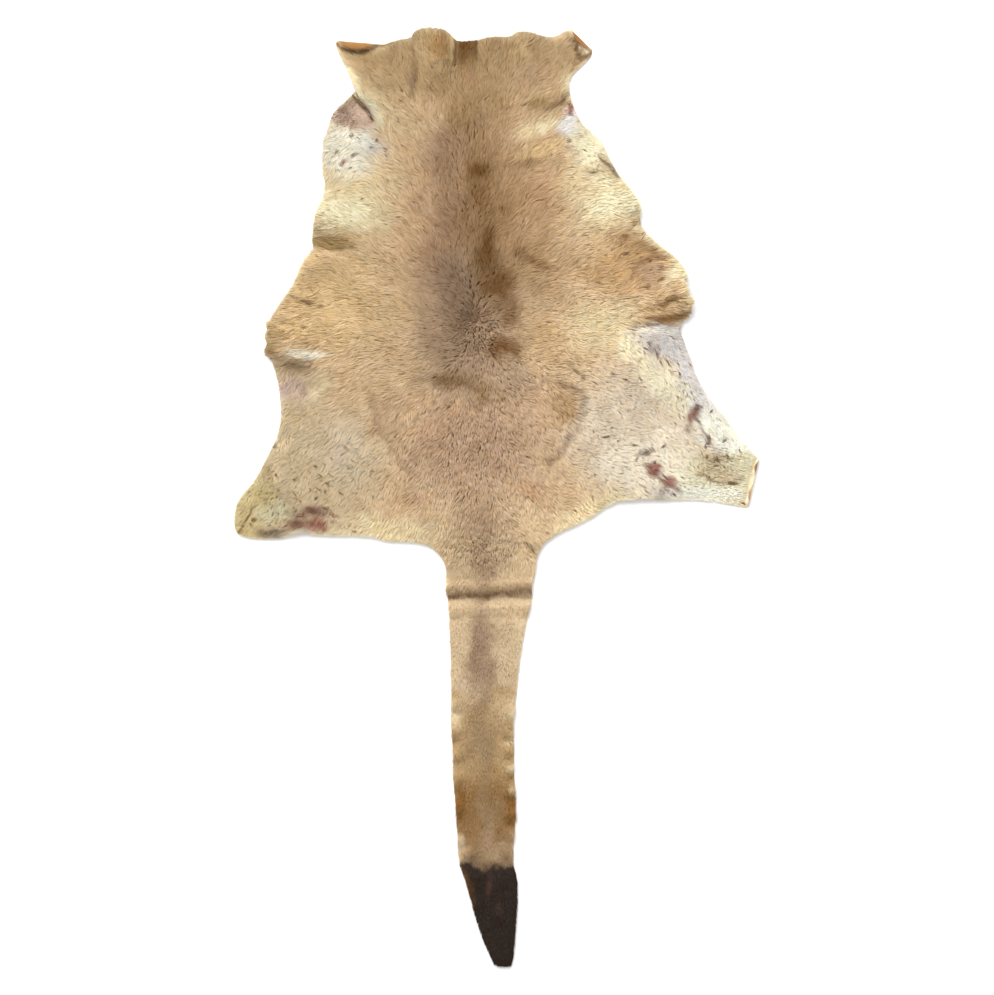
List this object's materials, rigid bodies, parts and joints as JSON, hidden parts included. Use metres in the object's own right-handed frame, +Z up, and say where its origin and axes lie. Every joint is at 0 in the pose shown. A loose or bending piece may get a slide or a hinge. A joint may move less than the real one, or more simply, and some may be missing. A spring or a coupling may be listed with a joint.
{
  "type": "kangaroo hide",
  "caption": "Whole tanned kangaroo hide with its tail, lying flat with the hair up, with a puckered neck edge, rolled corners and a dark tail tip.",
  "frame": {"origin": "on the floor, under the middle of the hide's bounding box", "axes": "+Z up, out of the hair side; +Y towards the neck and -Y towards the tail; +X towards the right side as seen from above with the neck away from the viewer"},
  "size_m": [0.895, 1.5996, 0.031],
  "materials": {
    "hair": "soft tan animal hair, brown along the spine and cream at the edges, with a brown-black tail tip",
    "suede": "matt tan suede, the flesh side of the tanned skin"
  },
  "bodies": {
    "root": {"hide": "hair"}
  },
  "joints": []
}
